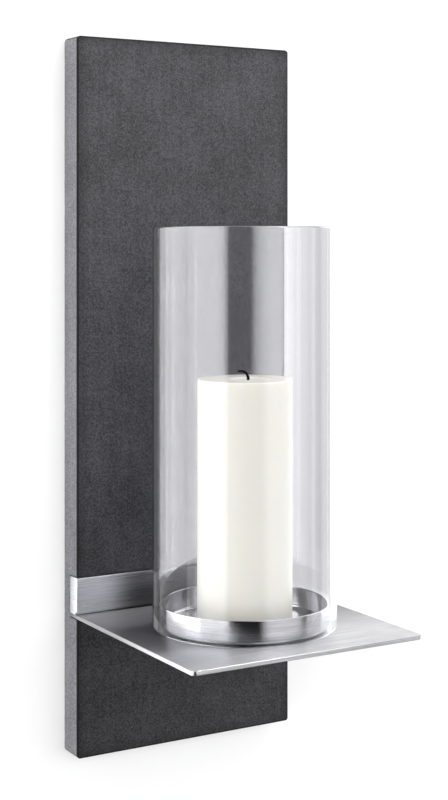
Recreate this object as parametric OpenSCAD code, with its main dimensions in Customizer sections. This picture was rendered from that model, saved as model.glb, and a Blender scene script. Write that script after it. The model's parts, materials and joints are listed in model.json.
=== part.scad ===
// Wall sconce candle holder: a stone panel with a steel shelf let into it, a drip tray
// and an open glass cylinder round a pillar candle.
// The origin is the centre of the panel's back face, which lies on the wall at Y = 0.
// +Z is up, and the front faces -Y.

/* [Stone panel] */
// Width of the stone panel, which the steel shelf and its bar line up with
panel_w = 152.5; // [120:0.5:200]
// Height of the stone panel
panel_h = 440; // [360:1:560]
// Thickness of the stone panel
panel_t = 18; // [15:0.5:26]
// Radius of the panel's four corners, seen from the front
panel_corner_r = 3; // [1:0.5:8]
// Radius rubbed onto the panel's front edges
panel_edge_r = 1; // [0.4:0.1:2]

/* [Steel bracket] */
// Height of the shelf's top face above the foot of the panel
shelf_rise = 87.5; // [60:0.5:140]
// How far the shelf stands out from the panel's front face
shelf_depth = 143.5; // [110:0.5:190]
// Thickness of the shelf plate
plate_t = 2.5; // [2:0.1:5]
// Radius of the shelf's two front corners
plate_corner_r = 3; // [0.5:0.5:15]
// Height of the bar that stands on the back of the shelf
bar_h = 22.5; // [16:0.5:40]
// Depth of the bar, all of it let into the panel
bar_depth = 10.4; // [8.5:0.1:13]
// Radius on the bar's long edges and ends
bar_edge_r = 0.8; // [0.3:0.1:1.5]
// Height of the groove along the foot of the bar's front face
groove_h = 1.4; // [0.5:0.1:3]
// Depth of the groove along the foot of the bar's front face
groove_depth = 1.2; // [0.5:0.1:3]
// Gap that shows between the steel and the stone, above the bar and under the shelf
shadow_gap = 0.6; // [0.3:0.1:2]

/* [Bracket fasteners] */
// Thread diameter of the screws that hold the bar from behind
bar_screw_d = 5; // [4:0.5:6]
// Distance between the two screws that hold the bar
bar_screw_span = 100; // [70:1:120]
// How far each of these screws goes into the bar
bar_screw_grip = 6.5; // [5:0.5:7]
// Thread diameter of the countersunk screws that join shelf and bar
plate_screw_d = 4; // [3:0.5:4]
// Length of the countersunk screws that join shelf and bar
plate_screw_len = 12; // [10:1:15]
// Distance across from a bar screw to the nearest countersunk screw
plate_screw_inset = 15; // [10:1:25]

/* [Glass] */
// Outside diameter of the glass cylinder
glass_od = 109.4; // [90:0.2:135]
// Wall of the glass cylinder
glass_wall = 3; // [2:0.1:5]
// Height of the glass cylinder
glass_h = 236; // [180:1:300]
// Radius melted onto the glass's rims
glass_rim_r = 1.1; // [0.4:0.1:1.4]
// How far the glass stands back from the middle of the shelf
glass_set_back = 1.2; // [0:0.1:6]

/* [Drip tray] */
// Gap all round between the tray and the glass
tray_gap = 1.7; // [0.8:0.1:4]
// Height of the tray's rim above the shelf
tray_h = 14.5; // [10:0.5:25]
// Sheet thickness of the tray
tray_wall = 1; // [0.8:0.1:1.6]
// Outside radius where the tray's wall turns into its floor
tray_turn_r = 3.5; // [2:0.5:6]
// Diameter of the stud welded under the tray
stud_d = 4; // [3:0.5:5]

/* [Candle] */
// Diameter of the pillar candle
candle_d = 56.5; // [45:0.5:75]
// Height of the pillar candle
candle_h = 145; // [100:1:180]
// Radius of the candle's top edge
candle_edge_r = 1.6; // [0.5:0.1:4]
// Diameter of the shallow hollow melted round the wick
pool_d = 21; // [10:1:40]
// Depth of the hollow melted round the wick
pool_depth = 0.8; // [0.4:0.1:3]
// Diameter of the wick
wick_d = 1.5; // [1:0.1:2.5]
// How far the wick stands off the candle's axis
wick_offset = 2; // [0:0.1:4]
// Direction of that offset, and the one that the wick's tip turns away from
wick_bearing = -30; // [-180:5:180]
// Straight part of the wick above the hollow
wick_rise = 1.1; // [0.5:0.1:4]
// Radius of the bend in the burnt wick
wick_bend_r = 4.2; // [2:0.1:8]
// Angle of the bend in the burnt wick
wick_bend = 114; // [30:1:140]

/* [Wall hangers] */
// Distance between the two keyhole hangers
hanger_span = 90; // [70:1:95]
// Depth of the hangers' middle below the top of the panel
hanger_drop = 46; // [40:1:80]
// Width of a hanger plate
hanger_w = 24; // [20:1:28]
// Height of a hanger plate
hanger_h = 48; // [44:1:60]
// Thickness of a hanger plate
hanger_t = 2; // [1.5:0.1:2.5]
// Radius of the hole that the wall screw's head goes into
keyhole_r = 5; // [4:0.1:6]
// Width of the slot that the wall screw's shank hangs in
keyhole_slot = 4.6; // [4:0.1:6]
// Length from the hole's centre to the slot's end centre
keyhole_run = 11; // [8:0.5:13]
// Room behind the hanger plate for the wall screw's head
pocket_depth = 5; // [4.5:0.1:8]
// Room beside and under the wall screw's head in that pocket
pocket_room = 1; // [0.5:0.1:2]

/* [Hidden] */
$fn = 96;

cut = 1;                 // how far a cutting shape runs past the face it opens
thread_gap = 0.05;       // radial room between a thread and its hole
hole_gap = 0.25;         // radial room round a shank in a clearance hole
recess_gap = 0.3;        // room round a piece that lies in a recess of the stone
below_face = 0.2;        // how deep the fixings lie below the panel's back face

// Heights and depths that several pieces share
front_y = -panel_t;
shelf_z = -panel_h / 2 + shelf_rise;
bar_back_y = front_y + bar_depth;
bar_mid_y = front_y + bar_depth / 2;
shelf_front_y = front_y - shelf_depth;
glass_y = front_y - shelf_depth / 2 + glass_set_back;

// Screws, washers and counterbores behind the bar
bar_head_d = 1.8 * bar_screw_d;
bar_head_h = 0.4 * bar_screw_d;
bar_socket_w = 0.6 * bar_screw_d;
bar_socket_depth = 0.6 * bar_head_h;
washer_od = 2.4 * bar_screw_d;
washer_t = 1;
washer_hole_r = bar_screw_d / 2 + 0.15;
counterbore_r = washer_od / 2 + recess_gap;
counterbore_depth = bar_head_h + washer_t + below_face;
washer_y = -counterbore_depth;

// Countersunk screws from under the shelf
plate_head_r = 0.9 * plate_screw_d;
plate_head_h = plate_head_r - plate_screw_d / 2;
plate_screw_step = bar_screw_span / 2 - plate_screw_inset;

// Tray and its fixing through the shelf
tray_r = glass_od / 2 - glass_wall - tray_gap;
stud_washer_r = 1.2 * stud_d;
stud_washer_t = 0.8;
nut_w = 1.75 * stud_d;
nut_hex_h = 0.8 * stud_d;
nut_bore_depth = 1.1 * stud_d;
nut_top_z = shelf_z - plate_t - stud_washer_t;
stud_foot_z = nut_top_z - 0.9 * stud_d;

// Candle, wick and the disc under it
candle_z = shelf_z + tray_wall;
candle_top_z = candle_z + candle_h;
disc_r = 9;
disc_t = 0.4;
neck_r = 1.6;
neck_h = 5;
disc_gap = 0.1;
pool_sphere_r = (pool_d * pool_d / 4 + pool_depth * pool_depth) / (2 * pool_depth);
wick_turn_z = candle_top_z - pool_depth + wick_rise;

// Hangers, with their screws and threaded inserts
hanger_z = panel_h / 2 - hanger_drop;
hanger_back_y = -below_face;
hanger_front_y = hanger_back_y - hanger_t;
hanger_corner_r = 3;
keyhole_z = hanger_z - keyhole_run / 2;
fixing_rise = hanger_h / 2 - 4.5;
fixing_d = 3;
fixing_len = 7;
insert_od = 5;
insert_len = 6.5;

// A rectangle with round corners, centred on the origin
module round_rect(w, h, r) {
    for (x = [-1, 1], y = [-1, 1])
        translate([x * (w / 2 - r), y * (h / 2 - r)]) circle(r);
    square([w - 2 * r, h], center = true);
    square([w, h - 2 * r], center = true);
}

// A rectangle from y0 to y1 whose corners at y0 are round, centred across
module round_front(w, y0, y1, r) {
    for (x = [-1, 1])
        translate([x * (w / 2 - r), y0 + r]) circle(r);
    translate([-w / 2 + r, y0]) square([w - 2 * r, y1 - y0]);
    translate([-w / 2, y0 + r]) square([w, y1 - y0 - r]);
}

// Lays a drawing in X and Z against the wall, from depth y0 out to depth y1
module stand(y0, y1) {
    translate([0, y0, 0]) rotate([90, 0, 0]) linear_extrude(y0 - y1) children();
}

// Turns a drawing in Y and Z along X, centred, over a length
module along_x(len) {
    rotate([90, 0, 90]) translate([0, 0, -len / 2]) linear_extrude(len) children();
}

// A straight rod along +Y from y0 to y1
module rod_y(r, y0, y1) {
    translate([0, y0, 0]) rotate([-90, 0, 0]) cylinder(r = r, h = y1 - y0);
}

// Places a child at each screw of a row along X
module row_x(count, step) {
    for (i = [0 : count - 1])
        translate([(i - (count - 1) / 2) * step, 0, 0]) children();
}

// The half outline of an open cup with a turned foot, for a full revolution
module cup_outline(r, h, turn) {
    square([r - turn, h]);
    translate([0, turn]) square([r, h - turn]);
    translate([r - turn, turn]) circle(turn);
}

// Keyhole hanger places: -1 is the left one as seen from the room
module at_hanger(side) {
    translate([side * hanger_span / 2, 0, 0]) children();
}

// Places a child at both fixings of both hangers
module at_fixings() {
    for (side = [-1, 1], up = [-1, 1])
        at_hanger(side) translate([0, 0, hanger_z + up * fixing_rise]) children();
}

module panel_block() {
    intersection() {
        stand(0, front_y) round_rect(panel_w, panel_h, panel_corner_r);
        translate([0, 0, -panel_h / 2]) linear_extrude(panel_h)
            round_front(panel_w, front_y, 0, panel_edge_r);
        rotate([0, 90, 0]) translate([0, 0, -panel_w / 2]) linear_extrude(panel_w)
            round_front(panel_h, front_y, 0, panel_edge_r);
    }
}

// The slot across the panel's face that the bar and the back of the shelf lie in
module bar_slot() {
    slot_low_z = shelf_z - plate_t - shadow_gap;
    slot_high_z = shelf_z + bar_h + shadow_gap;
    translate([-panel_w / 2 - cut, front_y - cut, slot_low_z])
        cube([panel_w + 2 * cut, bar_depth + cut, slot_high_z - slot_low_z]);
}

module hanger_recess() {
    translate([0, 0, hanger_z]) stand(cut, hanger_front_y)
        round_rect(hanger_w + 2 * recess_gap, hanger_h + 2 * recess_gap, hanger_corner_r);
    pocket_r = keyhole_r + pocket_room;
    translate([0, 0, hanger_z]) stand(0, hanger_front_y - pocket_depth)
        round_rect(2 * pocket_r, keyhole_run + 2 * pocket_r, 0.8 * pocket_r);
}

module back_panel() {
    color("#4b4b4e") difference() {
        panel_block();
        bar_slot();
        translate([0, 0, shelf_z + bar_h / 2]) row_x(2, bar_screw_span) {
            rod_y(bar_screw_d / 2 + hole_gap, front_y, cut);
            rod_y(counterbore_r, washer_y, cut);
        }
        for (side = [-1, 1]) at_hanger(side) hanger_recess();
        at_fixings()
            rod_y(insert_od / 2, hanger_front_y - insert_len, 0);
    }
}

module bar_block() {
    intersection() {
        along_x(panel_w) translate([bar_mid_y, shelf_z + bar_h / 2])
            round_rect(bar_depth, bar_h, bar_edge_r);
        translate([0, bar_mid_y, shelf_z]) linear_extrude(bar_h)
            round_rect(panel_w, bar_depth, bar_edge_r);
    }
}

module mounting_bar() {
    color("#a6a7aa") difference() {
        bar_block();
        translate([-panel_w / 2 - cut, front_y - cut, shelf_z - cut])
            cube([panel_w + 2 * cut, groove_depth + cut, groove_h + cut]);
        translate([0, 0, shelf_z + bar_h / 2]) row_x(2, bar_screw_span)
            rod_y(bar_screw_d / 2 + thread_gap, bar_back_y - bar_screw_grip - cut, bar_back_y + cut);
        translate([0, bar_mid_y, shelf_z - cut]) row_x(3, plate_screw_step)
            cylinder(r = plate_screw_d / 2 + thread_gap, h = plate_screw_len - plate_t + 2 * cut);
    }
}

module shelf_plate() {
    color("#b4b5b7") difference() {
        translate([0, 0, shelf_z - plate_t]) linear_extrude(plate_t)
            round_front(panel_w, shelf_front_y, bar_back_y, plate_corner_r);
        translate([0, bar_mid_y, shelf_z - plate_t]) row_x(3, plate_screw_step) {
            translate([0, 0, -cut])
                cylinder(r = plate_screw_d / 2 + thread_gap, h = plate_t + 2 * cut);
            cylinder(r1 = plate_head_r + thread_gap, r2 = plate_screw_d / 2 + thread_gap,
                     h = plate_head_h);
        }
        translate([0, glass_y, shelf_z - plate_t - cut])
            cylinder(r = stud_d / 2 + hole_gap, h = plate_t + 2 * cut);
    }
}

// A countersunk screw that points up, with its flat head at height 0
module countersunk_screw(d, len, head_r, head_h) {
    difference() {
        union() {
            cylinder(r1 = head_r, r2 = d / 2, h = head_h);
            cylinder(d = d, h = len);
        }
        translate([0, 0, -cut]) cylinder(d = 0.7 * d, h = cut + 0.5 * head_h, $fn = 6);
    }
}

module plate_screws() {
    color("#8d8f92") translate([0, bar_mid_y, shelf_z - plate_t]) row_x(3, plate_screw_step)
        countersunk_screw(plate_screw_d, plate_screw_len, plate_head_r, plate_head_h);
}

module bracket_screws() {
    head_y = washer_y + washer_t;
    color("#8d8f92") translate([0, 0, shelf_z + bar_h / 2]) row_x(2, bar_screw_span)
        difference() {
            union() {
                rod_y(bar_screw_d / 2, bar_back_y - bar_screw_grip, head_y);
                rod_y(bar_head_d / 2, head_y, head_y + bar_head_h);
            }
            translate([0, head_y + bar_head_h - bar_socket_depth, 0]) rotate([-90, 0, 0])
                cylinder(d = bar_socket_w, h = bar_socket_depth + cut, $fn = 6);
        }
}

module bracket_washers() {
    color("#9b9da0") translate([0, 0, shelf_z + bar_h / 2]) row_x(2, bar_screw_span)
        difference() {
            rod_y(washer_od / 2, washer_y, washer_y + washer_t);
            rod_y(washer_hole_r, washer_y - cut, washer_y + washer_t + cut);
        }
}

module drip_tray() {
    color("#c2c3c5") translate([0, glass_y, shelf_z]) rotate_extrude()
        difference() {
            cup_outline(tray_r, tray_h, tray_turn_r);
            translate([0, tray_wall])
                cup_outline(tray_r - tray_wall, tray_h, tray_turn_r - tray_wall);
        }
}

module tray_stud() {
    color("#9b9da0") translate([0, glass_y, stud_foot_z])
        cylinder(d = stud_d, h = shelf_z - stud_foot_z);
}

module tray_washer() {
    color("#9b9da0") translate([0, glass_y, nut_top_z]) difference() {
        cylinder(r = stud_washer_r, h = stud_washer_t);
        translate([0, 0, -cut]) cylinder(r = stud_d / 2 + hole_gap, h = stud_washer_t + 2 * cut);
    }
}

// A domed nut that closes the stud's end under the shelf
module tray_nut() {
    dome_r = 0.92 * nut_w / 2;
    color("#b0b1b3") translate([0, glass_y, nut_top_z]) difference() {
        union() {
            translate([0, 0, -nut_hex_h]) cylinder(d = nut_w / cos(30), h = nut_hex_h, $fn = 6);
            intersection() {
                translate([0, 0, -nut_hex_h]) sphere(dome_r);
                translate([0, 0, -nut_hex_h - dome_r]) cylinder(r = dome_r + cut, h = dome_r);
            }
        }
        translate([0, 0, -nut_bore_depth])
            cylinder(r = stud_d / 2 + thread_gap, h = nut_bore_depth + cut);
    }
}

module glass_cylinder() {
    color("#dfe6ea", 0.35) translate([0, glass_y, shelf_z]) rotate_extrude()
        translate([glass_od / 2 - glass_wall / 2, glass_h / 2])
            round_rect(glass_wall, glass_h, glass_rim_r);
}

// The wick's own axis: off the candle's axis, on the given bearing
module at_wick() {
    translate([wick_offset * cos(wick_bearing), glass_y + wick_offset * sin(wick_bearing), 0])
        rotate([0, 0, wick_bearing]) children();
}

module candle() {
    color("#f4f2e6") difference() {
        translate([0, glass_y, candle_top_z]) mirror([0, 0, 1]) rotate_extrude()
            cup_outline(candle_d / 2, candle_h, candle_edge_r);
        at_wick() {
            translate([0, 0, candle_top_z + pool_sphere_r - pool_depth]) sphere(pool_sphere_r);
            translate([0, 0, candle_z]) cylinder(d = wick_d, h = candle_h);
            translate([0, 0, candle_z - cut])
                cylinder(r = disc_r + disc_gap, h = disc_t + disc_gap + cut);
            translate([0, 0, candle_z]) cylinder(r = neck_r + disc_gap, h = disc_t + neck_h + disc_gap);
        }
    }
}

module wick() {
    foot_z = candle_z + disc_t + disc_gap;
    color("#26221f") at_wick() {
        translate([0, 0, foot_z]) cylinder(d = wick_d, h = wick_turn_z - foot_z);
        // The bend starts upright and curls back across the candle
        translate([-wick_bend_r, 0, wick_turn_z]) rotate([90, 0, 0])
            rotate_extrude(angle = wick_bend) translate([wick_bend_r, 0]) circle(d = wick_d);
    }
}

module wick_sustainer() {
    color("#b9babc") at_wick() translate([0, 0, candle_z]) difference() {
        union() {
            cylinder(r = disc_r, h = disc_t);
            cylinder(r = neck_r, h = disc_t + neck_h);
        }
        translate([0, 0, disc_t + disc_gap]) cylinder(r = wick_d / 2 + thread_gap, h = neck_h + cut);
    }
}

module hanger_plate(side) {
    color("#a9abad") at_hanger(side) difference() {
        translate([0, 0, hanger_z]) stand(hanger_back_y, hanger_front_y)
            round_rect(hanger_w, hanger_h, hanger_corner_r);
        translate([0, 0, keyhole_z]) rod_y(keyhole_r, hanger_front_y - cut, cut);
        translate([0, 0, keyhole_z + keyhole_run]) rod_y(keyhole_slot / 2, hanger_front_y - cut, cut);
        translate([-keyhole_slot / 2, hanger_front_y - cut, keyhole_z])
            cube([keyhole_slot, hanger_t + 2 * cut, keyhole_run]);
        for (up = [-1, 1]) translate([0, 0, hanger_z + up * fixing_rise]) {
            rod_y(fixing_d / 2 + thread_gap, hanger_front_y - cut, cut);
            translate([0, hanger_back_y, 0]) rotate([90, 0, 0])
                cylinder(r1 = fixing_d + thread_gap, r2 = fixing_d / 2 + thread_gap, h = fixing_d / 2);
        }
    }
}

module hanger_plate_left() {
    hanger_plate(-1);
}

module hanger_plate_right() {
    hanger_plate(1);
}

module hanger_screws() {
    color("#8d8f92") at_fixings() translate([0, hanger_back_y, 0]) rotate([90, 0, 0])
        countersunk_screw(fixing_d, fixing_len, fixing_d, fixing_d / 2);
}

module hanger_inserts() {
    color("#c9a44e") at_fixings() difference() {
        rod_y(insert_od / 2, hanger_front_y - insert_len, hanger_front_y);
        rod_y(fixing_d / 2 + thread_gap, hanger_front_y - insert_len - cut, hanger_front_y + cut);
    }
}

back_panel();
mounting_bar();
shelf_plate();
plate_screws();
bracket_screws();
bracket_washers();
drip_tray();
tray_stud();
tray_washer();
tray_nut();
glass_cylinder();
candle();
wick();
wick_sustainer();
hanger_plate_left();
hanger_plate_right();
hanger_screws();
hanger_inserts();
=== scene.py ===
"""Wall sconce candle holder: its visible pieces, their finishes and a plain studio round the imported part."""

import json
import math

import bmesh
import bpy
from bpy.props import FloatProperty, FloatVectorProperty, IntProperty, PointerProperty
from mathutils import Matrix, Vector

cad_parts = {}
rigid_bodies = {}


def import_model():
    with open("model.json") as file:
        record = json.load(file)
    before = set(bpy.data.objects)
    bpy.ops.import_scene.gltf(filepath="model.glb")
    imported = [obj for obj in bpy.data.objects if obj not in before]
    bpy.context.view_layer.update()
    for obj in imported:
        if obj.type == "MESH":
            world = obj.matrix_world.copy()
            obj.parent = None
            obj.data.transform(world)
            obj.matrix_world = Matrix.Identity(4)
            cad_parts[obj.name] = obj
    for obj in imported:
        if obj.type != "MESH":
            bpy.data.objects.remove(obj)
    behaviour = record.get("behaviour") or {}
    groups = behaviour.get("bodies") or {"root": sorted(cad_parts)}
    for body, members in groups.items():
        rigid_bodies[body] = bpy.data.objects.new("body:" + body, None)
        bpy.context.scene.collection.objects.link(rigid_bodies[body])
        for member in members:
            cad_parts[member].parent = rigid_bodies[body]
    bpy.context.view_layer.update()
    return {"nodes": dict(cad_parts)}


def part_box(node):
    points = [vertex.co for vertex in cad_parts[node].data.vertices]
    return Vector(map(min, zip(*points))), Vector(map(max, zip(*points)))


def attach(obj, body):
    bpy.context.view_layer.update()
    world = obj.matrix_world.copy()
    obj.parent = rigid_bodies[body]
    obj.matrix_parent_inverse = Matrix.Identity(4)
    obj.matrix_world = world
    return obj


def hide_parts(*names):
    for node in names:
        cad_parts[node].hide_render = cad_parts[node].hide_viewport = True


bl_info = {
    "name": "Wall Sconce Candle Holder",
    "version": (1, 0, 0),
    "blender": (4, 5, 0),
    "location": "View3D > Sidebar > Sconce",
    "description": "Builds the pieces and finishes of a wall sconce with a shelf, a glass and a candle",
    "category": "Object",
}

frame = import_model()
MM = 0.001


def spans(node):
    """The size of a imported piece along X, Y and Z."""
    low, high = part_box(node)
    return Vector(high) - Vector(low)


def middle(node):
    """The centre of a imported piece's box."""
    low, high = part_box(node)
    return (Vector(high) + Vector(low)) / 2


PANEL = spans("back_panel")
GLASS_AXIS = middle("glass_cylinder")
BACK_NODES = ("back_panel", "hanger_plate_left", "hanger_plate_right", "hanger_screws", "bracket_screws")

# Length of a brush line, and the radius at which the lines on the turned tray are measured
BRUSH_STROKE = 60 * MM
TURNED_GRAIN_RADIUS = 50 * MM

# The Mix node's sockets by place, since its colours and its plain values share their names
COLOUR_A, COLOUR_B, COLOUR_OUT = 6, 7, 2
VALUE_A, VALUE_B = 2, 3

# A ray with more passes through glass than this has reached the far wall of the glass
FAR_WALL = 1.5


def linear(code):
    """Turns an sRGB hex colour into the linear values that a shader takes."""
    parts = [int(code[i : i + 2], 16) / 255 for i in (1, 3, 5)]
    return tuple(c / 12.92 if c <= 0.04045 else ((c + 0.055) / 1.055) ** 2.4 for c in parts)


def colour(values):
    """A colour socket's value, from a stored colour."""
    return (*values, 1.0)


class SconceLooks(bpy.types.PropertyGroup):
    """Sizes and colours of the sconce that a user would change."""

    stone: FloatVectorProperty(
        name="Stone",
        description="Colour of the cast stone between its specks",
        subtype="COLOR",
        min=0,
        max=1,
        default=linear("#313134"),
    )
    # Painted light: the sides get a much paler colour than the face, standing in for the strong light on them
    lit_side_stone: FloatVectorProperty(
        name="Painted lit sides",
        description="Colour of the cast stone's sides",
        subtype="COLOR",
        min=0,
        max=1,
        default=linear("#828286"),
    )
    steel: FloatVectorProperty(
        name="Steel",
        description="Colour of the brushed stainless steel",
        subtype="COLOR",
        min=0,
        max=1,
        default=linear("#c9c9cb"),
    )
    wax: FloatVectorProperty(
        name="Wax",
        description="Colour of the candle",
        subtype="COLOR",
        min=0,
        max=1,
        default=linear("#f4f2e7"),
    )
    glass_wall: FloatProperty(
        name="Glass wall",
        description="Thickness of the glass cylinder's wall",
        unit="LENGTH",
        default=3.0 * MM,
        min=1.5 * MM,
        max=6 * MM,
    )
    tray_wall: FloatProperty(
        name="Tray sheet",
        description="Thickness of the steel that the drip tray is spun from",
        unit="LENGTH",
        default=1.0 * MM,
        min=0.6 * MM,
        max=2 * MM,
    )
    bar_edge: FloatProperty(
        name="Bar edge",
        description="Radius that the bar's outer edges are rounded to",
        unit="LENGTH",
        default=0.8 * MM,
        min=0.2 * MM,
        max=2 * MM,
    )
    groove_height: FloatProperty(
        name="Groove height",
        description="Height of the dark groove between the bar's face and the shelf",
        unit="LENGTH",
        default=1.4 * MM,
        min=0.5 * MM,
        max=3 * MM,
    )
    groove_depth: FloatProperty(
        name="Groove depth",
        description="Depth of the groove",
        unit="LENGTH",
        default=2.4 * MM,
        min=0.5 * MM,
        max=3 * MM,
    )
    grain: FloatProperty(
        name="Brush lines",
        description="Width of the lines that the brushing left in the steel",
        unit="LENGTH",
        default=0.6 * MM,
        min=0.1 * MM,
        max=2 * MM,
    )
    turns: IntProperty(
        name="Turned sides",
        description="Number of sides on each turned piece",
        default=160,
        min=48,
        max=256,
    )


# ---------------------------------------------------------------- mesh helpers


def arc(cx, cy, radius, start, end, steps):
    """Points along an arc, with its angles in degrees."""
    angles = [math.radians(start + (end - start) * i / steps) for i in range(steps + 1)]
    return [(cx + radius * math.cos(a), cy + radius * math.sin(a)) for a in angles]


def held(outline, hold):
    """The outline with a point close to each end of every long stretch, which keeps its shading flat."""
    long_stretch = 4 * hold
    points = [outline[0]]
    for a, b in zip(outline, outline[1:]):
        run = math.dist(a, b)
        if run > long_stretch:
            for share in (hold / run, 1 - hold / run):
                points.append((a[0] + (b[0] - a[0]) * share, a[1] + (b[1] - a[1]) * share))
        points.append(b)
    return points


def revolve(bm, outline, centre, turns):
    """Spins an outline of radius and height round an upright axis into a closed solid."""
    verts = [bm.verts.new((centre[0] + r, centre[1], z)) for r, z in outline]
    edges = [bm.edges.new(pair) for pair in zip(verts, verts[1:])]
    bmesh.ops.spin(
        bm,
        geom=verts + edges,
        cent=(centre[0], centre[1], 0),
        axis=(0, 0, 1),
        dvec=(0, 0, 0),
        angle=math.tau,
        steps=turns,
        use_merge=True,
        use_normal_flip=False,
        use_duplicate=False,
    )
    bmesh.ops.remove_doubles(bm, verts=bm.verts[:], dist=1e-6)
    bmesh.ops.recalc_face_normals(bm, faces=bm.faces[:])
    for face in bm.faces:
        face.smooth = True


def block(bm, low, high):
    """A box between two corners."""
    low, high = Vector(low), Vector(high)
    place = Matrix.Translation((low + high) / 2) @ Matrix.Diagonal((*(high - low), 1))
    return bmesh.ops.create_cube(bm, size=1, matrix=place)["verts"]


def ease(bm, edges, width, segments):
    """Rounds edges and marks the new faces smooth."""
    made = bmesh.ops.bevel(
        bm,
        geom=list(edges),
        offset=width,
        offset_type="OFFSET",
        affect="EDGES",
        segments=segments,
        profile=0.5,
        material=-1,
        clamp_overlap=True,
    )
    for face in made["faces"]:
        face.smooth = True
    return made["faces"]


def draw_on(bm, face, move, closes_foot=False):
    """Draws a face out into a new stretch and gives the face at its end. Only a foot stays closed."""
    made = bmesh.ops.extrude_face_region(bm, geom=[face])["geom"]
    if not closes_foot:
        bmesh.ops.delete(bm, geom=[face], context="FACES_ONLY")
    moved = [v for v in made if isinstance(v, bmesh.types.BMVert)]
    bmesh.ops.transform(bm, matrix=move, verts=moved)
    end = next(f for f in made if isinstance(f, bmesh.types.BMFace))
    end.normal_update()
    return end


def lay_grain(bm):
    """Gives each face a map whose U runs along the brush lines, which go along X, in metres."""
    layer = bm.loops.layers.uv.new("grain")
    for face in bm.faces:
        n = face.normal
        if abs(n.x) > max(abs(n.y), abs(n.z)):
            along, across = 1, 2
        else:
            along, across = 0, (1 if abs(n.z) > abs(n.y) else 2)
        for loop in face.loops:
            loop[layer].uv = (loop.vert.co[along], loop.vert.co[across])


def lay_turned_grain(bm, centre):
    """Gives each face a map whose U runs round the axis, as the lines on a turned piece do, in metres."""
    layer = bm.loops.layers.uv.new("grain")
    for face in bm.faces:
        mid = face.calc_center_median()
        base = math.atan2(mid.y - centre[1], mid.x - centre[0])
        for loop in face.loops:
            co = loop.vert.co
            turn = math.atan2(co.y - centre[1], co.x - centre[0]) - base
            turn = math.remainder(turn, math.tau)
            reach = math.hypot(co.y - centre[1], co.x - centre[0])
            loop[layer].uv = ((base + turn) * TURNED_GRAIN_RADIUS, co.z + reach)


def turned_about(point, matrix):
    """The matrix applied about a point instead of the origin."""
    return Matrix.Translation(point) @ matrix @ Matrix.Translation(-point)


def finish_piece(bm, name, material, body, slot, *nodes):
    """Makes a mesh object of the piece and ties it to the part."""
    mesh = bpy.data.meshes.new(name)
    bm.to_mesh(mesh)
    bm.free()
    mesh.materials.append(material)
    piece = bpy.data.objects.new(name, mesh)
    bpy.context.scene.collection.objects.link(piece)
    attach(piece, body)
    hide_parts(*nodes)
    return piece


def dress_node(node, material):
    """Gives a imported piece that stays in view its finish."""
    mesh = frame["nodes"][node].data
    mesh.materials.clear()
    mesh.materials.append(material)


# ------------------------------------------------------------ material helpers


def add_node(tree, kind, sockets=None, **settings):
    """Adds one node with its settings, and sets or links its sockets."""
    node = tree.nodes.new(kind)
    for name, value in settings.items():
        setattr(node, name, value)
    for name, value in (sockets or {}).items():
        if isinstance(value, bpy.types.NodeSocket):
            tree.links.new(value, node.inputs[name])
        else:
            node.inputs[name].default_value = value
    return node


def new_finish(name, sockets):
    """A material with its main shader's plain values set, and its node tree and shader."""
    material = bpy.data.materials.new(name)
    material.use_nodes = True
    shader = material.node_tree.nodes["Principled BSDF"]
    for socket, value in sockets.items():
        shader.inputs[socket].default_value = value
    return material, material.node_tree, shader


def scale_for(size):
    """The texture scale whose pattern repeats about once in this length, in metres."""
    return 1 / size


def side_mask(tree, value, reach, width):
    """1 in the last width before a distance from the middle, on either side, and 0 nearer to it."""
    away = add_node(tree, "ShaderNodeMath", {0: value}, operation="ABSOLUTE")
    over = add_node(
        tree, "ShaderNodeMath", {0: away.outputs[0], 1: reach - width}, operation="GREATER_THAN"
    )
    return over.outputs[0]


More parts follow.
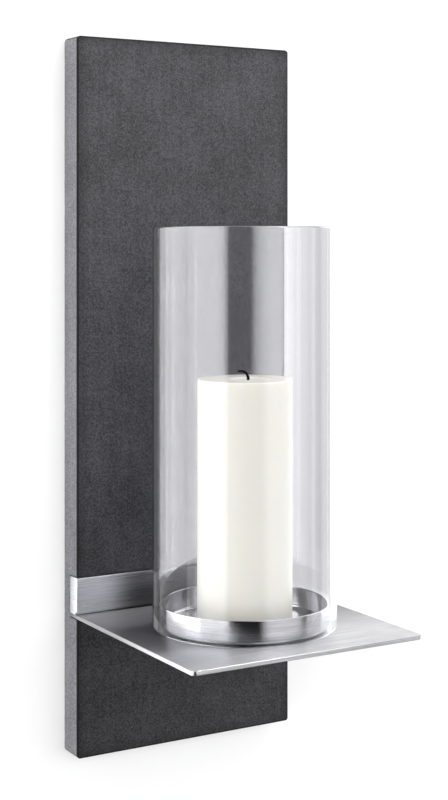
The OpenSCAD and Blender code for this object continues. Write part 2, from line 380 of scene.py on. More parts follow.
def cast_stone(looks):
    """Cast stone: stone dust in resin, poured, honed and sealed. Dull dark grey with fine specks."""
    material, tree, shader = new_finish("cast stone", {"Roughness": 0.62, "IOR": 1.5})
    place = add_node(tree, "ShaderNodeTexCoord").outputs["Object"]
    # Real grit is mostly finer than a third of a millimetre. It is drawn coarser, so that it shows
    speck = add_node(
        tree,
        "ShaderNodeTexVoronoi",
        {"Vector": place, "Scale": scale_for(0.8 * MM), "Randomness": 1.0},
    )
    dust = add_node(
        tree,
        "ShaderNodeTexNoise",
        {"Vector": place, "Scale": scale_for(0.9 * MM), "Detail": 2, "Roughness": 0.8},
    )
    cloud = add_node(
        tree,
        "ShaderNodeTexNoise",
        {"Vector": place, "Scale": scale_for(32 * MM), "Detail": 5, "Roughness": 0.62},
    )
    upright = (1, 1, 0.04)
    stretched = add_node(tree, "ShaderNodeMapping", {"Vector": place, "Scale": upright})
    streak = add_node(
        tree,
        "ShaderNodeTexNoise",
        {"Vector": stretched.outputs[0], "Scale": scale_for(2.5 * MM), "Detail": 3},
    )
    # Each pattern, its least and greatest value, and how far it swings the brightness
    parts = (
        (speck.outputs["Color"], 0.0, 1.0, 1.0),
        (dust.outputs[0], 0.3, 0.7, 0.45),
        (cloud.outputs[0], 0.35, 0.65, 0.22),
        (streak.outputs[0], 0.3, 0.7, 0.16),
    )
    total = None
    for source, least, most, swing in parts:
        share = add_node(
            tree,
            "ShaderNodeMapRange",
            {"Value": source, "From Min": least, "From Max": most, "To Min": -swing, "To Max": swing},
            clamp=False,
        )
        if total is None:
            total = share
        else:
            total = add_node(tree, "ShaderNodeMath", {0: total.outputs[0], 1: share.outputs[0]})
    # Painted light: the outer sides are painted much paler than the face, as if strongly lit, and a thin band
    # along the front outline is nearly black
    side_skin, dark_rim_width, dark_rim_depth = 0.5 * MM, 1.2 * MM, 0.9 * MM
    part = add_node(tree, "ShaderNodeSeparateXYZ", {0: place})
    sides = []
    for skin in (side_skin, dark_rim_width):
        beside = side_mask(tree, part.outputs["X"], PANEL.x / 2, skin)
        above = side_mask(tree, part.outputs["Z"], PANEL.z / 2, skin)
        sides.append(add_node(tree, "ShaderNodeMath", {0: beside, 1: above}, operation="MAXIMUM"))
    lit_sides, near_outline = sides
    # Their grain is paler too, so it shows less
    calm = add_node(
        tree, "ShaderNodeMapRange", {"Value": lit_sides.outputs[0], "To Min": 1.0, "To Max": 0.4}
    )
    spread = add_node(
        tree,
        "ShaderNodeMath",
        {0: total.outputs[0], 1: calm.outputs[0], 2: 1.0},
        operation="MULTIPLY_ADD",
    )
    darkest = 0.2
    spread = add_node(
        tree, "ShaderNodeMath", {0: spread.outputs[0], 1: darkest}, operation="MAXIMUM"
    )
    # A thin band along the front outline, over the eased edge, is made nearly black
    front = side_mask(tree, part.outputs["Y"], PANEL.y, dark_rim_depth)
    dark_rim = add_node(tree, "ShaderNodeMath", {0: near_outline.outputs[0], 1: front}, operation="MULTIPLY")
    base = add_node(
        tree,
        "ShaderNodeMix",
        {
            "Factor": lit_sides.outputs[0],
            COLOUR_A: colour(looks.stone),
            COLOUR_B: colour(looks.lit_side_stone),
        },
        data_type="RGBA",
    )
    base = add_node(
        tree,
        "ShaderNodeMix",
        {
            "Factor": dark_rim.outputs[0],
            COLOUR_A: base.outputs[COLOUR_OUT],
            COLOUR_B: colour(linear("#0c0c0d")),
        },
        data_type="RGBA",
    )
    # Painted shading, not a known finish: the face darkens towards its outline
    shaded_width, shaded = 9 * MM, 0.66
    inside = None
    for axis, half in (("X", PANEL.x / 2), ("Z", PANEL.z / 2)):
        away = add_node(tree, "ShaderNodeMath", {0: part.outputs[axis]}, operation="ABSOLUTE")
        step = add_node(
            tree,
            "ShaderNodeMapRange",
            {
                "Value": away.outputs[0],
                "From Min": half,
                "From Max": half - shaded_width,
                "To Min": shaded,
            },
            interpolation_type="SMOOTHSTEP",
        )
        if inside is None:
            inside = step
        else:
            inside = add_node(
                tree,
                "ShaderNodeMath",
                {0: inside.outputs[0], 1: step.outputs[0]},
                operation="MULTIPLY",
            )
    inside = add_node(
        tree, "ShaderNodeMath", {0: inside.outputs[0], 1: lit_sides.outputs[0]}, operation="MAXIMUM"
    )
    spread = add_node(
        tree, "ShaderNodeMath", {0: spread.outputs[0], 1: inside.outputs[0]}, operation="MULTIPLY"
    )
    tint = add_node(
        tree,
        "ShaderNodeVectorMath",
        {0: base.outputs[COLOUR_OUT], "Scale": spread.outputs[0]},
        operation="SCALE",
    )
    tree.links.new(tint.outputs[0], shader.inputs["Base Color"])
    relief = add_node(
        tree,
        "ShaderNodeBump",
        {"Height": dust.outputs[0], "Strength": 0.3, "Distance": 0.2 * MM},
    )
    tree.links.new(relief.outputs[0], shader.inputs["Normal"])
    return material


def brushed_steel(looks, name, roughness, drawn_out, painted_reflection=None):
    """Stainless steel, brushed with an abrasive belt or pad. Fine lines draw its highlights out.

    The last argument gives an axis for a painted reflection, where on it the dull and the bright end lie, and
    how bright each is.
    """
    material, tree, shader = new_finish(
        name,
        {
            "Base Color": colour(looks.steel),
            "Metallic": 1.0,
            "Roughness": roughness,
            "Anisotropic": drawn_out,
            "Anisotropic Rotation": 0.25,
        },
    )
    # Real brush lines are about a tenth of a millimetre wide. These are coarser, so that they show
    grain = add_node(tree, "ShaderNodeUVMap", uv_map="grain")
    drawn = add_node(
        tree,
        "ShaderNodeMapping",
        {
            "Vector": grain.outputs[0],
            "Scale": (scale_for(BRUSH_STROKE), scale_for(looks.grain), 1),
        },
    )
    line = add_node(
        tree,
        "ShaderNodeTexNoise",
        {"Vector": drawn.outputs[0], "Scale": 1.0, "Detail": 4, "Roughness": 0.7},
        noise_dimensions="2D",
    )
    shade = add_node(
        tree,
        "ShaderNodeMapRange",
        {
            "Value": line.outputs[0],
            "From Min": 0.25,
            "From Max": 0.75,
            "To Min": 0.66,
            "To Max": 1.2,
        },
    )
    place = add_node(tree, "ShaderNodeTexCoord").outputs["Object"]
    smudge = add_node(
        tree,
        "ShaderNodeTexNoise",
        {"Vector": place, "Scale": scale_for(45 * MM), "Detail": 3, "Roughness": 0.55},
    )
    film = add_node(
        tree,
        "ShaderNodeMapRange",
        {
            "Value": smudge.outputs[0],
            "From Min": 0.3,
            "From Max": 0.7,
            "To Min": 0.88,
            "To Max": 1.1,
        },
    )
    shade = add_node(
        tree, "ShaderNodeMath", {0: shade.outputs[0], 1: film.outputs[0]}, operation="MULTIPLY"
    )
    if painted_reflection is not None:
        # Painted shading that stands in for what the steel mirrors: dark stone at one end, a
        # bright room at the other
        axis, dull_end, bright_end, dull, bright = painted_reflection
        reach = add_node(tree, "ShaderNodeSeparateXYZ", {0: place})
        image = add_node(
            tree,
            "ShaderNodeMapRange",
            {
                "Value": reach.outputs[axis],
                "From Min": bright_end,
                "From Max": dull_end,
                "To Min": bright,
                "To Max": dull,
            },
            interpolation_type="SMOOTHSTEP",
        )
        shade = add_node(
            tree, "ShaderNodeMath", {0: shade.outputs[0], 1: image.outputs[0]}, operation="MULTIPLY"
        )
    tint = add_node(
        tree, "ShaderNodeVectorMath", {0: looks.steel, "Scale": shade.outputs[0]}, operation="SCALE"
    )
    gloss = add_node(
        tree,
        "ShaderNodeMapRange",
        {
            "Value": line.outputs[0],
            "From Min": 0.25,
            "From Max": 0.75,
            "To Min": roughness * 1.15,
            "To Max": roughness * 0.85,
        },
    )
    relief = add_node(
        tree,
        "ShaderNodeBump",
        {"Height": line.outputs[0], "Strength": 0.12, "Distance": 0.02 * MM},
    )
    tangent = add_node(tree, "ShaderNodeTangent", direction_type="UV_MAP", uv_map="grain")
    tree.links.new(tint.outputs[0], shader.inputs["Base Color"])
    tree.links.new(gloss.outputs[0], shader.inputs["Roughness"])
    tree.links.new(relief.outputs[0], shader.inputs["Normal"])
    tree.links.new(tangent.outputs[0], shader.inputs["Tangent"])
    return material


def clear_glass():
    """Soda-lime glass, drawn as a tube, cut and fire-polished. Clear, with sharp reflections."""
    material, tree, shader = new_finish(
        "soda-lime glass",
        {
            "Base Color": colour(linear("#fafafb")),
            "Roughness": 0.0,
            "IOR": 1.52,
            "Transmission Weight": 1.0,
        },
    )
    # Lamps shine through the wall instead of casting the dark shadow of a solid piece
    ray = add_node(tree, "ShaderNodeLightPath")
    open_air = add_node(tree, "ShaderNodeBsdfTransparent", {"Color": colour(linear("#f6f6f8"))})
    mixed = add_node(
        tree,
        "ShaderNodeMixShader",
        {"Fac": ray.outputs["Is Shadow Ray"], 1: shader.outputs[0], 2: open_air.outputs[0]},
    )
    # What other pieces mirror through the wall stays clean too
    mixed = add_node(
        tree,
        "ShaderNodeMixShader",
        {"Fac": ray.outputs["Is Reflection Ray"], 1: mixed.outputs[0], 2: open_air.outputs[0]},
    )
    tree.links.new(mixed.outputs[0], tree.nodes["Material Output"].inputs["Surface"])
    return material


def candle_wax(looks):
    """Paraffin wax, poured in a mould. Light goes a few millimetres in, so its edges glow."""
    material, tree, shader = new_finish(
        "paraffin wax",
        {
            "Base Color": colour(looks.wax),
            "Roughness": 0.42,
            "IOR": 1.44,
            "Subsurface Weight": 0.75,
            "Subsurface Radius": (1.0, 0.85, 0.6),
            "Subsurface Scale": 6 * MM,
        },
    )
    place = add_node(tree, "ShaderNodeTexCoord").outputs["Object"]
    mottle = add_node(
        tree,
        "ShaderNodeTexNoise",
        {"Vector": place, "Scale": scale_for(9 * MM), "Detail": 3, "Roughness": 0.5},
    )
    gloss = add_node(
        tree,
        "ShaderNodeMapRange",
        {"Value": mottle.outputs[0], "To Min": 0.36, "To Max": 0.5},
    )
    relief = add_node(
        tree,
        "ShaderNodeBump",
        {"Height": mottle.outputs[0], "Strength": 0.15, "Distance": 0.3 * MM},
    )
    tree.links.new(gloss.outputs[0], shader.inputs["Roughness"])
    tree.links.new(relief.outputs[0], shader.inputs["Normal"])
    return material


def burnt_cotton():
    """Braided cotton, charred by the flame. Black and quite dull."""
    material, tree, shader = new_finish("charred cotton", {"Roughness": 0.85, "Specular IOR Level": 0.15})
    place = add_node(tree, "ShaderNodeTexCoord").outputs["Object"]
    fibre = add_node(
        tree, "ShaderNodeTexNoise", {"Vector": place, "Scale": scale_for(0.3 * MM), "Detail": 3}
    )
    shade = add_node(tree, "ShaderNodeValToRGB", {"Fac": fibre.outputs[0]})
    shade.color_ramp.elements[0].color = colour(linear("#060505"))
    shade.color_ramp.elements[1].color = colour(linear("#191513"))
    relief = add_node(
        tree,
        "ShaderNodeBump",
        {"Height": fibre.outputs[0], "Strength": 0.5, "Distance": 0.1 * MM},
    )
    tree.links.new(shade.outputs[0], shader.inputs["Base Color"])
    tree.links.new(relief.outputs[0], shader.inputs["Normal"])
    return material


def plated_metal(name, code, roughness):
    """Small fixings, pressed or turned and then plated. Slightly uneven sheen."""
    material, tree, shader = new_finish(
        name, {"Base Color": colour(linear(code)), "Metallic": 1.0, "Roughness": roughness}
    )
    place = add_node(tree, "ShaderNodeTexCoord").outputs["Object"]
    cloud = add_node(
        tree,
        "ShaderNodeTexNoise",
        {"Vector": place, "Scale": scale_for(3 * MM), "Detail": 4, "Roughness": 0.6},
    )
    gloss = add_node(
        tree,
        "ShaderNodeMapRange",
        {"Value": cloud.outputs[0], "To Min": 0.7 * roughness, "To Max": 1.4 * roughness},
    )
    tree.links.new(gloss.outputs[0], shader.inputs["Roughness"])
    return material


# ------------------------------------------------------------------- operators


class SCONCE_OT_stone_panel(bpy.types.Operator):
    """Gives the stone panel its finish"""

    bl_idname = "sconce.stone_panel"
    bl_label = "Stone Panel"

    def execute(self, context):
        dress_node("back_panel", cast_stone(context.scene.sconce_looks))
        return {"FINISHED"}


class SCONCE_OT_steel_shelf(bpy.types.Operator):
    """Builds the steel shelf with its round corners and eased edges"""

    bl_idname = "sconce.steel_shelf"
    bl_label = "Steel Shelf"

    def execute(self, context):
        looks = context.scene.sconce_looks
        low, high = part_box("shelf_plate")
        corner_radius, rim_radius, sharp = 3 * MM, 0.35 * MM, math.radians(60)
        bm = bmesh.new()
        block(bm, low, high)
        corners = [
            e
            for e in bm.edges
            if all(v.co.y < (low[1] + high[1]) / 2 for v in e.verts)
            and e.verts[0].co.x == e.verts[1].co.x
            and e.verts[0].co.y == e.verts[1].co.y
        ]
        ease(bm, corners, corner_radius, 8)
        rims = [e for e in bm.edges if e.calc_face_angle(0) > sharp]
        ease(bm, rims, rim_radius, 3)
        lay_grain(bm)
        # Painted reflection: the shelf is painted dull towards the bar and bright towards its front edge
        dull_end, bright_end = low[1] + 95 * MM, low[1] + 15 * MM
        steel = brushed_steel(
            looks,
            "brushed stainless steel, shelf",
            roughness=0.32,
            drawn_out=0.9,
            painted_reflection=("Y", dull_end, bright_end, 0.52, 1.2),
        )
        finish_piece(bm, "steel_shelf", steel, "wall_unit", "brushed_stainless", "shelf_plate")
        return {"FINISHED"}


class SCONCE_OT_steel_bar(bpy.types.Operator):
    """Builds the flat steel bar that stands on the back of the shelf"""

    bl_idname = "sconce.steel_bar"
    bl_label = "Steel Bar"

    def execute(self, context):
        looks = context.scene.sconce_looks
        low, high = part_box("mounting_bar")
        lip = low[2] + looks.groove_height
        heel = low[1] + looks.groove_depth
        bm = bmesh.new()
        # The end's outline, with its front foot set back over the shelf
        profile = (
            (high[1], low[2]),
            (heel, low[2]),
            (heel, lip),
            (low[1], lip),
            (low[1], high[2]),
            (high[1], high[2]),
        )
        verts = [bm.verts.new((low[0], y, z)) for y, z in profile]
        end = bmesh.ops.contextual_create(bm, geom=verts)["faces"]
        drawn = bmesh.ops.extrude_face_region(bm, geom=end, use_keep_orig=True)["geom"]
        far = [v for v in drawn if isinstance(v, bmesh.types.BMVert)]
        bmesh.ops.translate(bm, verts=far, vec=(high[0] - low[0], 0, 0))
        bmesh.ops.recalc_face_normals(bm, faces=bm.faces[:])
        rims = [e for e in bm.edges if max(v.co.z for v in e.verts) > lip + looks.bar_edge]
        ease(bm, rims, looks.bar_edge, 4)
        lay_grain(bm)
        # Painted reflection: the bar is painted bright near its left end and dull further along
        dull_end, bright_end = low[0] + 44 * MM, low[0] + 14 * MM
        steel = brushed_steel(
            looks,
            "brushed stainless steel, bar",
            roughness=0.3,
            drawn_out=0.8,
            painted_reflection=("X", dull_end, bright_end, 0.5, 1.5),
        )
        finish_piece(bm, "steel_bar", steel, "wall_unit", "brushed_stainless", "mounting_bar")
        return {"FINISHED"}


class SCONCE_OT_drip_tray(bpy.types.Operator):
    """Spins the steel drip tray"""

    bl_idname = "sconce.drip_tray"
    bl_label = "Drip Tray"

    def execute(self, context):
        looks = context.scene.sconce_looks
        low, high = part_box("drip_tray")
        radius, wall = (high[0] - low[0]) / 2, looks.tray_wall
        turn, lip, hold = 3.5 * MM, wall / 2, 0.3 * MM
        outline = [(0, low[2])]
        outline += arc(radius - turn, low[2] + turn, turn, -90, 0, 10)
        outline += arc(radius - lip, high[2] - lip, lip, 0, 180, 8)
        outline += arc(radius - turn, low[2] + turn, turn - wall, 0, -90, 8)
        outline += [(0, low[2] + wall)]
        bm = bmesh.new()
        revolve(bm, held(outline, hold), GLASS_AXIS, looks.turns)
        lay_turned_grain(bm, GLASS_AXIS)
        steel = brushed_steel(
            looks, "brushed stainless steel, tray", roughness=0.16, drawn_out=0.85
        )
        finish_piece(bm, "steel_tray", steel, "wall_unit", "brushed_stainless", "drip_tray")
        return {"FINISHED"}


class SCONCE_OT_glass(bpy.types.Operator):
    """Builds the open glass cylinder with its fire-polished rims"""

    bl_idname = "sconce.glass"
    bl_label = "Glass Cylinder"

    def execute(self, context):
        looks = context.scene.sconce_looks
        low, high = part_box("glass_cylinder")
        outer = (high[1] - low[1]) / 2
        inner, rim, hold = outer - looks.glass_wall, 1.1 * MM, 0.5 * MM
        outline = arc(outer - rim, low[2] + rim, rim, -90, 0, 8)
        outline += arc(outer - rim, high[2] - rim, rim, 0, 90, 8)
        outline += arc(inner + rim, high[2] - rim, rim, 90, 180, 8)
        outline += arc(inner + rim, low[2] + rim, rim, 180, 270, 8)
        outline += [outline[0]]
        bm = bmesh.new()
        revolve(bm, held(outline, hold), GLASS_AXIS, looks.turns)
        finish_piece(bm, "glass_tube", clear_glass(), "glass", "clear_glass", "glass_cylinder")
        return {"FINISHED"}


class SCONCE_OT_candle(bpy.types.Operator):
    """Builds the pillar candle with its soft top edge and the hollow melted round its wick"""

    bl_idname = "sconce.candle"
    bl_label = "Candle"

    def execute(self, context):
        looks = context.scene.sconce_looks
        low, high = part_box("candle")
        wick = middle("wick_sustainer")
        radius = (high[0] - low[0]) / 2
        edge, foot_edge = 1.0 * MM, 0.8 * MM
        # The foot is hollowed for the wick's metal disc and its neck
        disc_room, disc_top = 11.3 * MM, low[2] + 0.6 * MM
        neck_room, neck_top = 4 * MM, low[2] + 6 * MM
        outline = [(0, neck_top), (neck_room, neck_top), (neck_room, disc_top)]
        outline += [(disc_room, disc_top), (disc_room, low[2])]
        outline += arc(radius - foot_edge, low[2] + foot_edge, foot_edge, -90, 0, 4)
        rise = high[2] - edge - low[2] - foot_edge
        rows = 36
        outline += [(radius, low[2] + foot_edge + rise * i / rows) for i in range(1, rows)]
        outline += arc(radius - edge, high[2] - edge, edge, 0, 90, 8)
        ring_gap = 0.6 * MM
        rings = int((radius - edge) / ring_gap)
        outline += [(radius - edge - ring_gap * i, high[2]) for i in range(1, rings)]
        outline += [(0, high[2])]
        bm = bmesh.new()
        revolve(bm, outline, GLASS_AXIS, looks.turns)
        # The top dips a little all over, and more in the pool, with a low swelling round its bank
        pool, depth, bank, dip = 10.5 * MM, 1.2 * MM, 0.8 * MM, 0.3 * MM
        swell_height, swell_place, swell_width = 0.4 * MM, pool + 1.6 * MM, 0.9 * MM
        for vert in bm.verts:
            if vert.co.z > high[2] - edge / 2:
                off = math.hypot(vert.co.x - wick.x, vert.co.y - wick.y)
                out = math.hypot(vert.co.x - GLASS_AXIS.x, vert.co.y - GLASS_AXIS.y)
                dish = dip * (1 - min(1, out / (radius - edge)) ** 2)
                share = max(0.0, min(1.0, (pool + bank - off) / (2 * bank)))
                swell = swell_height * math.exp(-(((off - swell_place) / swell_width) ** 2))
                vert.co.z -= dish + depth * share * share * (3 - 2 * share) - swell
        wax = candle_wax(looks)
        candle = finish_piece(bm, "wax_candle", wax, "pillar_candle", "candle_wax", "candle")
        # Its image in the far wall of the glass would break up the pale veil there
        candle.visible_glossy = False
        return {"FINISHED"}


class SCONCE_OT_wick(bpy.types.Operator):
    """Builds the burnt wick, three twisted strands that curl over at the tip"""

    bl_idname = "sconce.wick"
    bl_label = "Wick"

    def execute(self, context):
        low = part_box("wick")[0]
        foot = middle("wick_sustainer")
        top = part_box("candle")[1][2]
        radius, sides, strand, valley = 0.86 * MM, 12, 1.1, 0.9
        # Inside the wax it runs straight, then it twists, and just above the wax it starts to bend
        plain_top, bend_start, rise = top - 8 * MM, top + 0.3 * MM, 0.5 * MM
        twist = math.radians(14)
        bearing, bend, bend_radius, bend_steps = math.radians(-30), math.radians(114), 4.2 * MM, 18
        # It thins slowly along the bend and quickly over the last steps, to a tip
        taper, tip_taper, tip_from = 0.985, 0.9, 13

        bm = bmesh.new()
        place = Matrix.Translation((foot.x, foot.y, low[2]))
        ring = bmesh.ops.create_circle(bm, cap_ends=True, radius=radius, segments=sides, matrix=place)
        for i, vert in enumerate(ring["verts"]):
            vert.co.xy = foot.xy + (vert.co.xy - foot.xy) * (strand if i % 4 < 2 else valley)
        straight = Matrix.Translation((0, 0, plain_top - low[2]))
        end = draw_on(bm, bm.faces[:][0], straight, closes_foot=True)
        axis = Vector((foot.x, foot.y, 0))
        climb = Matrix.Translation((0, 0, rise)) @ turned_about(axis, Matrix.Rotation(twist, 4, "Z"))
        for _ in range(round((bend_start - plain_top) / rise)):
            end = draw_on(bm, end, climb)
        towards = Vector((math.cos(bearing), math.sin(bearing), 0))
        pivot = Vector((foot.x, foot.y, bend_start)) - towards * bend_radius
        hinge = Vector((math.sin(bearing), -math.cos(bearing), 0))
        curl = turned_about(pivot, Matrix.Rotation(bend / bend_steps, 4, hinge))
        for i in range(bend_steps):
            thinner = Matrix.Scale(taper if i < tip_from else tip_taper, 4)
            spin = Matrix.Rotation(twist, 4, end.normal) @ thinner
            end = draw_on(bm, end, curl @ turned_about(end.calc_center_median(), spin))
        bmesh.ops.recalc_face_normals(bm, faces=bm.faces[:])
        for face in bm.faces:
            face.smooth = len(face.verts) < sides
        wick = finish_piece(bm, "burnt_wick", burnt_cotton(), "pillar_candle", "cotton_wick", "wick")
        # Hidden from mirror rays with the candle, for the same reason
        wick.visible_glossy = False
        return {"FINISHED"}


class SCONCE_OT_fixings(bpy.types.Operator):
    """Gives the screws, washers, nut, hangers and inserts their plated finishes"""

    bl_idname = "sconce.fixings"
    bl_label = "Fixings"

    def execute(self, context):
        zinc = plated_metal("zinc-plated steel", "#b4b7bb", 0.3)
        brass = plated_metal("turned brass", "#c9a24f", 0.28)
        for node in (
            "plate_screws",
            "bracket_screws",
            "bracket_washers",
            "tray_stud",
            "tray_washer",
            "tray_nut",
            "wick_sustainer",
            "hanger_plate_left",
            "hanger_plate_right",
            "hanger_screws",
        ):
            dress_node(node, zinc)
        dress_node("hanger_inserts", brass)
        return {"FINISHED"}


# ----------------------------------------------------------------------- stage


def sheet(name, loops, material):
    """A flat stage surface from one outline, or from two with the ring between them filled."""
    bm = bmesh.new()
    edges = []
    for loop in loops:
        verts = [bm.verts.new(co) for co in loop]
        edges += [bm.edges.new(pair) for pair in zip(verts, verts[1:] + verts[:1])]
    if len(loops) == 1:
        bmesh.ops.contextual_create(bm, geom=edges)
    else:
        bmesh.ops.bridge_loops(bm, edges=edges)
    mesh = bpy.data.meshes.new(name)
    bm.to_mesh(mesh)
    bm.free()
    mesh.materials.append(material)
    surface = bpy.data.objects.new(name, mesh)
    bpy.context.scene.collection.objects.link(surface)
    return surface


def rectangle(x, y, z):
    """Corners of a rectangle: two of x, y and z are (low, high) pairs and one is a plain value."""
    if not isinstance(y, tuple):
        return [(x[0], y, z[0]), (x[1], y, z[0]), (x[1], y, z[1]), (x[0], y, z[1])]
    return [(x[0], y[0], z), (x[1], y[0], z), (x[1], y[1], z), (x[0], y[1], z)]


def softbox(
    name, place, facing, size, glow, soft=0.15, only=(), far=False, diffuse=True, glossy=True
):
    """A soft rectangular lamp that faces a point.

    soft is the share of its size over which each edge fades. only lists the pieces that it lights,
    and an empty list means all. far keeps it to the far wall of the glass.
    """
    lamp = bpy.data.lights.new(name, "AREA")
    lamp.shape = "RECTANGLE"
    lamp.size, lamp.size_y = size
    lamp.energy = glow * math.pi * size[0] * size[1]
    lamp.use_nodes = True
    tree = lamp.node_tree
    spot = add_node(tree, "ShaderNodeNewGeometry").outputs["Parametric"]
    across = add_node(tree, "ShaderNodeSeparateXYZ", {0: spot})
    centre = 0.5
    fade = None
    for axis in ("X", "Y"):
        off = add_node(
            tree, "ShaderNodeMath", {0: across.outputs[axis], 1: centre}, operation="SUBTRACT"
        )
        off = add_node(tree, "ShaderNodeMath", {0: off.outputs[0]}, operation="ABSOLUTE")
        edge = add_node(
            tree,
            "ShaderNodeMapRange",
            {"Value": off.outputs[0], "From Min": centre, "From Max": centre - soft},
            interpolation_type="SMOOTHSTEP",
        )
        if fade is None:
            fade = edge
        else:
            fade = add_node(
                tree,
                "ShaderNodeMath",
                {0: fade.outputs[0], 1: edge.outputs[0]},
                operation="MULTIPLY",
            )
    if far:
        # Shows in the far wall of the glass, not in the near one, where it would hide what stands inside
        passes = add_node(tree, "ShaderNodeLightPath").outputs["Transmission Depth"]
        deep = add_node(
            tree, "ShaderNodeMath", {0: passes, 1: FAR_WALL}, operation="GREATER_THAN"
        )
        fade = add_node(
            tree, "ShaderNodeMath", {0: fade.outputs[0], 1: deep.outputs[0]}, operation="MULTIPLY"
        )
    tree.links.new(fade.outputs[0], tree.nodes["Emission"].inputs["Strength"])
    light = bpy.data.objects.new(name, lamp)
    light.location = place
    light.rotation_euler = (Vector(facing) - Vector(place)).to_track_quat("-Z", "Y").to_euler()
    light.visible_camera = False
    light.visible_transmission = False
    light.visible_diffuse = diffuse
    light.visible_glossy = glossy
    if only:
        lit = bpy.data.collections.new(name + "_lights")
        for piece in only:
            lit.objects.link(piece)
        light.light_linking.receiver_collection = lit
    bpy.context.scene.collection.objects.link(light)
    return light


def on_bearing(aim, bearing, distance, height):
    """A place round a point, its bearing in degrees from straight in front and positive to the right."""
    turn = math.radians(bearing)
    return aim + Vector((distance * math.sin(turn), -distance * math.cos(turn), height))


class SCONCE_OT_stage(bpy.types.Operator):
    """Builds the pale wall and floor, the soft lamps and the camera"""

    bl_idname = "sconce.stage"
    bl_label = "Stage"

    def execute(self, context):
        scene = context.scene
        scene.view_settings.view_transform = "Standard"
        self.surfaces()
        self.lamps()
        self.surroundings(scene)
        self.camera(scene)
        return {"FINISHED"}

    def surfaces(self):
        """The wall, with a hole behind the panel, and the floor."""
        reach, gap, inside = 3.0, 0.3 * MM, 1.2 * MM
        half_w, half_h = PANEL.x / 2 - inside, PANEL.z / 2 - inside
        floor_z = -0.62
        sheet(
            "stage_wall",
            [
                rectangle((-reach, reach), gap, (floor_z, reach)),
                rectangle((-half_w, half_w), gap, (-half_h, half_h)),
            ],
            self.wall_paint(),
        )
        # Stage trick: the floor glows by itself, evenly, and neither lights the pieces nor shows in them
        ground, _, _ = new_finish(
            "matt white floor",
            {
                "Base Color": colour(linear("#8c8c8c")),
                "Roughness": 0.9,
                "Emission Color": colour(linear("#ffffff")),
                "Emission Strength": 0.72,
            },
        )
        floor = sheet("stage_floor", [rectangle((-reach, reach), (-reach, reach), floor_z)], ground)
        floor.visible_glossy = False
        floor.visible_diffuse = False

    def wall_paint(self):
        """Matt white wall paint, whose brightness depends on the kind of ray that meets it."""
        paint, tree, shader = new_finish(
            "matt white paint", {"Base Color": colour(linear("#f2f2f2")), "Roughness": 0.9}
        )
        ray = add_node(tree, "ShaderNodeLightPath")
        # Stage trick: the wall glows more for rays off the far side of the glass than for any other
        passes = ray.outputs["Transmission Depth"]
        far_glow, plain_glow, camera_glow = 1.6, 0.05, 0.155
        deep = add_node(
            tree, "ShaderNodeMath", {0: passes, 1: FAR_WALL}, operation="GREATER_THAN"
        )
        glow = add_node(
            tree,
            "ShaderNodeMath",
            {0: deep.outputs[0], 1: far_glow, 2: plain_glow},
            operation="MULTIPLY_ADD",
        )
        lit = add_node(tree, "ShaderNodeEmission", {"Strength": glow.outputs[0]})
        bright = add_node(tree, "ShaderNodeAddShader", {0: shader.outputs[0], 1: lit.outputs[0]})
        # Stage trick: seen through the glass the wall is darker, and seen directly it is brighter
        dim = add_node(tree, "ShaderNodeBsdfDiffuse", {"Color": colour(linear("#d6d6d8"))})
        seen = add_node(
            tree,
            "ShaderNodeMixShader",
            {"Fac": ray.outputs["Is Reflection Ray"], 1: shader.outputs[0], 2: bright.outputs[0]},
        )
        seen = add_node(
            tree,
            "ShaderNodeMixShader",
            {"Fac": ray.outputs["Is Transmission Ray"], 1: seen.outputs[0], 2: dim.outputs[0]},
        )
        lift = add_node(tree, "ShaderNodeEmission", {"Strength": camera_glow})
        lifted = add_node(tree, "ShaderNodeAddShader", {0: seen.outputs[0], 1: lift.outputs[0]})
        seen = add_node(
            tree,
            "ShaderNodeMixShader",
            {"Fac": ray.outputs["Is Camera Ray"], 1: seen.outputs[0], 2: lifted.outputs[0]},
        )
        # Seen from behind, the wall gives way, so that the back of the panel shows
        side = add_node(tree, "ShaderNodeNewGeometry")
        gone = add_node(tree, "ShaderNodeBsdfTransparent")
        mixed = add_node(
            tree,
            "ShaderNodeMixShader",
            {"Fac": side.outputs["Backfacing"], 1: seen.outputs[0], 2: gone.outputs[0]},
        )
        # Stage trick: rays turned back inside the edge of the glass, which have passed through it
        # once, are given dark on the left and white on the right
        once, within = 1.0, 0.5
        inward = add_node(
            tree, "ShaderNodeMath", {0: passes, 1: once, 2: within}, operation="COMPARE"
        )
        across = add_node(tree, "ShaderNodeSeparateXYZ", {0: side.outputs["Position"]})
        share = add_node(
            tree,
            "ShaderNodeMapRange",
            {
                "Value": across.outputs["X"],
                "From Min": -50 * MM,
                "From Max": 50 * MM,
                "To Min": 0.13,
                "To Max": 1.0,
            },
        )
        met = add_node(tree, "ShaderNodeEmission", {"Strength": share.outputs[0]})
        mixed = add_node(
            tree, "ShaderNodeMixShader", {"Fac": inward.outputs[0], 1: mixed.outputs[0], 2: met.outputs[0]}
        )
        tree.links.new(mixed.outputs[0], tree.nodes["Material Output"].inputs["Surface"])
        return paint

    def lamps(self):
        """Soft lamps round the piece, some of them for a few pieces only."""
        aim = Vector((GLASS_AXIS.x, GLASS_AXIS.y, 0))
        nodes, objects = frame["nodes"], bpy.data.objects
        # Seen in the steel and the wax
        softbox("left_softbox", on_bearing(aim, -74, 1.25, 0.1), aim, (1.15, 1.9), 1.85, 0.08)
        softbox("front_softbox", on_bearing(aim, 21, 1.6, 0.1), aim, (2.3, 1.9), 1.5, 0.25)
        softbox("right_softbox", on_bearing(aim, 81, 1.4, 0.1), aim, (1.4, 1.9), 1.4)
        softbox("top_softbox", on_bearing(aim, 30, 0.7, 1.4), aim, (1.3, 1.2), 2.3)
        # Draws a streak along the shelf
        place, corner, shelf = (0.62, -0.09, 1.18), (-0.06, -0.14, -0.13), [objects["steel_shelf"]]
        softbox("shelf_streak", place, corner, (0.14, 1.0), 62.0, 0.5, shelf, diffuse=False)
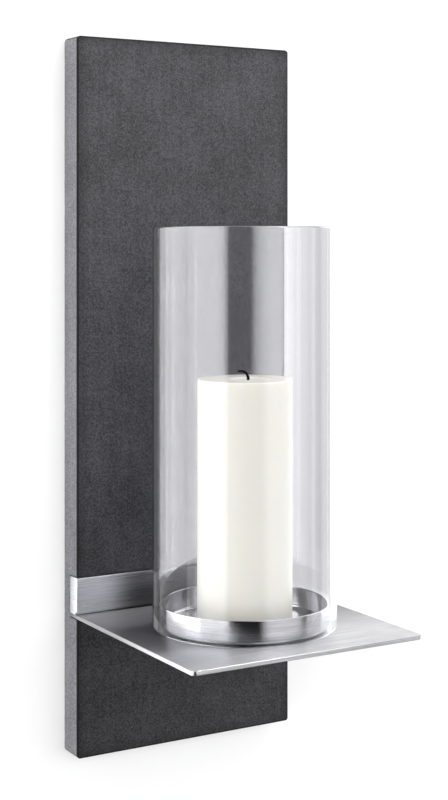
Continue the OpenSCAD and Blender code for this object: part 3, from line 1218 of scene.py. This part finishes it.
        # Lights the panel's back and what is fixed in it
        behind = [nodes[node] for node in BACK_NODES]
        softbox("back_softbox", on_bearing(aim, 160, 1.6, 0.5), aim, (1.2, 1.2), 8.0, only=behind)
        # Stands in for the lit wall beside the piece, in the steel alone
        place, facing = (-0.644, -0.004, 0), (-0.644, -1, 0)
        steel = [objects[name] for name in ("steel_bar", "steel_shelf", "steel_tray")]
        softbox("left_wall_card", place, facing, (1.13, 1.6), 0.8, 0.004, steel, diffuse=False)
        # Brightens everything evenly without showing in the steel
        softbox("fill", on_bearing(aim, -25, 1.8, 0.2), aim, (1.2, 1.2), 2.95, glossy=False)
        # Brightens the stone's upper right corner
        place, corner, stone = (0.5, -0.4, 0.75), (0.05, 0, 0.15), [nodes["back_panel"]]
        softbox("corner_softbox", place, corner, (0.6, 0.6), 14.0, only=stone, glossy=False)
        # Draw the pale veils on the glass alone: name, bearing, distance, size, glow and soft share
        for name, bearing, distance, size, glow, soft in (
            ("glass_left_card", -65, 1.3, (1.35, 2.0), 4.8, 0.22),
            ("glass_right_card", 42, 1.5, (3.9, 2.6), 5.0, 0.16),
            ("glass_middle_card", -28, 1.5, (1.4, 2.0), 0.7, 0.05),
        ):
            place = on_bearing(aim, bearing, distance, -0.1)
            softbox(name, place, aim, size, glow, soft, [objects["glass_tube"]], far=True)

    def surroundings(self, scene):
        """The near-white room round the stage."""
        # Stage trick: it is full where it is seen, weaker as a light, and hardly there in mirrors
        seen_glow, light_glow, mirror_glow = 1.0, 0.3, 0.01
        scene.world = bpy.data.worlds.new("studio")
        scene.world.use_nodes = True
        tree = scene.world.node_tree
        ray = add_node(tree, "ShaderNodeLightPath")
        seen = add_node(
            tree,
            "ShaderNodeMath",
            {0: ray.outputs["Is Camera Ray"], 1: ray.outputs["Is Transmission Ray"]},
            operation="MAXIMUM",
        )
        strength = add_node(
            tree,
            "ShaderNodeMix",
            {"Factor": seen.outputs[0], VALUE_A: light_glow, VALUE_B: seen_glow},
            data_type="FLOAT",
        )
        strength = add_node(
            tree,
            "ShaderNodeMix",
            {
                "Factor": ray.outputs["Is Glossy Ray"],
                VALUE_A: strength.outputs[0],
                VALUE_B: mirror_glow,
            },
            data_type="FLOAT",
        )
        back = tree.nodes["Background"]
        back.inputs["Color"].default_value = colour(linear("#fafafa"))
        tree.links.new(strength.outputs[0], back.inputs["Strength"])

    def camera(self, scene):
        """The camera, level and off to the left, with the upright shift that its framing needs."""
        lens = bpy.data.cameras.new("view")
        lens.lens = 70.4
        lens.shift_y = -0.2029
        eye = bpy.data.objects.new("view", lens)
        eye.location = (-0.4817, -0.8818, 0.0970)
        eye.rotation_euler = (math.radians(90), 0, math.radians(-30.51))
        scene.collection.objects.link(eye)
        scene.camera = eye


class SCONCE_PT_panel(bpy.types.Panel):
    """Lists the sconce's settings and the steps that build it"""

    bl_idname = "SCONCE_PT_panel"
    bl_label = "Wall Sconce"
    bl_space_type = "VIEW_3D"
    bl_region_type = "UI"
    bl_category = "Sconce"

    def draw(self, context):
        looks = context.scene.sconce_looks
        for name in looks.__annotations__:
            self.layout.prop(looks, name)
        for step in STEPS:
            self.layout.operator(step.bl_idname)


STEPS = (
    SCONCE_OT_stone_panel,
    SCONCE_OT_steel_shelf,
    SCONCE_OT_steel_bar,
    SCONCE_OT_drip_tray,
    SCONCE_OT_glass,
    SCONCE_OT_candle,
    SCONCE_OT_wick,
    SCONCE_OT_fixings,
    SCONCE_OT_stage,
)
CLASSES = (SconceLooks, *STEPS, SCONCE_PT_panel)


def register():
    """Makes the classes and the settings known to Blender."""
    for cls in CLASSES:
        bpy.utils.register_class(cls)
    bpy.types.Scene.sconce_looks = PointerProperty(type=SconceLooks)


def unregister():
    """Takes them away again."""
    del bpy.types.Scene.sconce_looks
    for cls in reversed(CLASSES):
        bpy.utils.unregister_class(cls)


def main():
    """Builds everything in order."""
    register()
    bpy.ops.sconce.stone_panel()
    bpy.ops.sconce.steel_shelf()
    bpy.ops.sconce.steel_bar()
    bpy.ops.sconce.drip_tray()
    bpy.ops.sconce.glass()
    bpy.ops.sconce.candle()
    bpy.ops.sconce.wick()
    bpy.ops.sconce.fixings()
    bpy.ops.sconce.stage()


if __name__ == "__main__":
    main()
